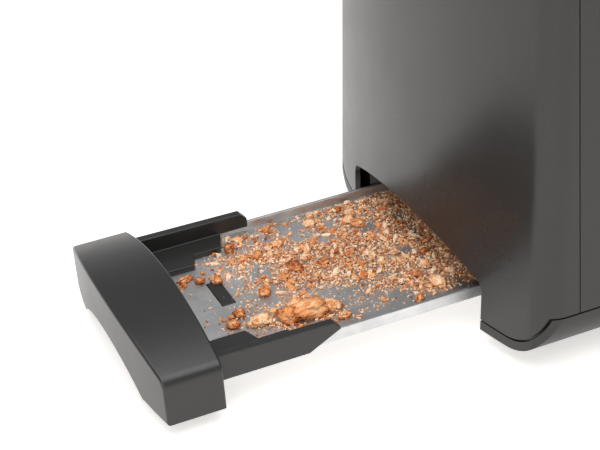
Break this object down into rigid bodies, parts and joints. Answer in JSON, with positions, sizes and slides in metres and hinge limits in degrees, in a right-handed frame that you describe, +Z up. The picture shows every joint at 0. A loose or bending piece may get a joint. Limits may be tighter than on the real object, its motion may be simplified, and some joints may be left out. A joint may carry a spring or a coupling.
{
  "type": "pop up toaster",
  "caption": "Pop-up toaster with bowed end panels, lever, browning knob and push buttons; its bow-fronted crumb tray is drawn out of one end.",
  "frame": {"origin": "middle of the toaster's footprint, on the surface that its feet stand on", "axes": "+Z up; +X towards the control end with the lever, so the crumb tray slides out towards -X; +Y to the far long side"},
  "size_m": [0.4375, 0.182, 0.1934],
  "materials": {
    "housing": "satin moulded, fine texture",
    "handle": "satin moulded, fine texture",
    "base": "satin moulded",
    "slot_frame": "brushed along the slots",
    "tray": "rolled sheet, lightly used",
    "controls": "satin",
    "buttons": "satin",
    "rubber": "matt",
    "screws": "zinc plated",
    "guard_wire": "bright plated wire",
    "mica": "layered mica sheet",
    "resistance_wire": "flat ribbon, oxidised",
    "copper_winding": "enamelled copper wire",
    "core_iron": "laminated",
    "circuit_board": "solder mask",
    "component_plastic": "moulded",
    "bright_steel": "ground",
    "sheet_steel": "plated sheet"
  },
  "bodies": {
    "housing": {"base_plate": "base", "base_screws": "screws", "board_screws": "screws", "browning_pot": "component_plastic", "carriage_spring": "bright_steel", "chassis_plate_control_end": "sheet_steel", "chassis_plate_tray_end": "sheet_steel", "control_board": "circuit_board", "control_end_panel": "housing", "cord_gland": "controls", "guide_rod": "bright_steel", "heater_card_inner_far": "mica", "heater_card_inner_near": "mica", "heater_card_outer_far": "mica", "heater_card_outer_near": "mica", "heating_wire_inner_far": "resistance_wire", "heating_wire_inner_near": "resistance_wire", "heating_wire_outer_far": "resistance_wire", "heating_wire_outer_near": "resistance_wire", "magnet_coil": "copper_winding", "magnet_core": "core_iron", "main_shell": "housing", "rod_bracket": "sheet_steel", "rubber_feet": "rubber", "side_reflector_far": "sheet_steel", "side_reflector_near": "sheet_steel", "slot_frame": "slot_frame", "tact_switches": "component_plastic", "tray_end_panel": "housing"},
    "crumb_tray": {"crumb_tray": "tray", "tray_handle": "handle"},
    "carriage": {"carriage_bracket": "sheet_steel", "carriage_bush": "controls", "lever_arm": "sheet_steel", "lever_knob": "controls", "latch_plate": "sheet_steel", "bread_rack_near": "sheet_steel", "bread_rack_far": "sheet_steel"},
    "guard_1_outer": {"bread_guard_1_outer": "guard_wire"},
    "guard_1_inner": {"bread_guard_1_inner": "guard_wire"},
    "guard_2_inner": {"bread_guard_2_inner": "guard_wire"},
    "guard_2_outer": {"bread_guard_2_outer": "guard_wire"},
    "browning_knob": {"browning_knob": "controls", "pot_shaft": "bright_steel"},
    "cancel_button": {"cancel_button": "buttons"},
    "reheat_button": {"reheat_button": "buttons"},
    "defrost_button": {"defrost_button": "buttons"}
  },
  "joints": [
    {"name": "crumb_tray_slide", "type": "slide", "parent": "housing", "child": "crumb_tray", "axis": [-1, 0, 0], "range_m": [-0.1315, 0.098]},
    {"name": "carriage_slide", "type": "slide", "parent": "housing", "child": "carriage", "axis": [0, 0, 1], "range_m": [-0.085, 0], "stiffness_N_per_m": 60, "springref_m": 0.06, "deforming": ["carriage_spring"]},
    {"name": "guard_1_outer_hinge", "type": "hinge", "parent": "housing", "child": "guard_1_outer", "pos_m": [0, -0.043, 0.041], "axis": [1, 0, 0], "range_deg": [-5.01, 0]},
    {"name": "guard_1_inner_hinge", "type": "hinge", "parent": "housing", "child": "guard_1_inner", "pos_m": [0, -0.011, 0.041], "axis": [1, 0, 0], "range_deg": [0, 5.01]},
    {"name": "guard_2_inner_hinge", "type": "hinge", "parent": "housing", "child": "guard_2_inner", "pos_m": [0, 0.011, 0.041], "axis": [1, 0, 0], "range_deg": [-5.01, 0]},
    {"name": "guard_2_outer_hinge", "type": "hinge", "parent": "housing", "child": "guard_2_outer", "pos_m": [0, 0.043, 0.041], "axis": [1, 0, 0], "range_deg": [0, 5.01]},
    {"name": "browning_knob_turn", "type": "hinge", "parent": "housing", "child": "browning_knob", "pos_m": [0.145, 0.046, 0.066], "axis": [1, 0, 0], "range_deg": [-135, 135]},
    {"name": "cancel_button_press", "type": "slide", "parent": "housing", "child": "cancel_button", "axis": [1, 0, 0], "range_m": [-0.0015, 0], "stiffness_N_per_m": 700, "springref_m": 0.001},
    {"name": "reheat_button_press", "type": "slide", "parent": "housing", "child": "reheat_button", "axis": [1, 0, 0], "range_m": [-0.0015, 0], "stiffness_N_per_m": 700, "springref_m": 0.001},
    {"name": "defrost_button_press", "type": "slide", "parent": "housing", "child": "defrost_button", "axis": [1, 0, 0], "range_m": [-0.0015, 0], "stiffness_N_per_m": 700, "springref_m": 0.001}
  ],
  "couplings": [
    {"joint": "guard_1_outer_hinge", "follows": "carriage_slide", "rad_per_m": 1.0267},
    {"joint": "guard_1_inner_hinge", "follows": "carriage_slide", "rad_per_m": -1.0267},
    {"joint": "guard_2_inner_hinge", "follows": "carriage_slide", "rad_per_m": 1.0267},
    {"joint": "guard_2_outer_hinge", "follows": "carriage_slide", "rad_per_m": -1.0267}
  ]
}
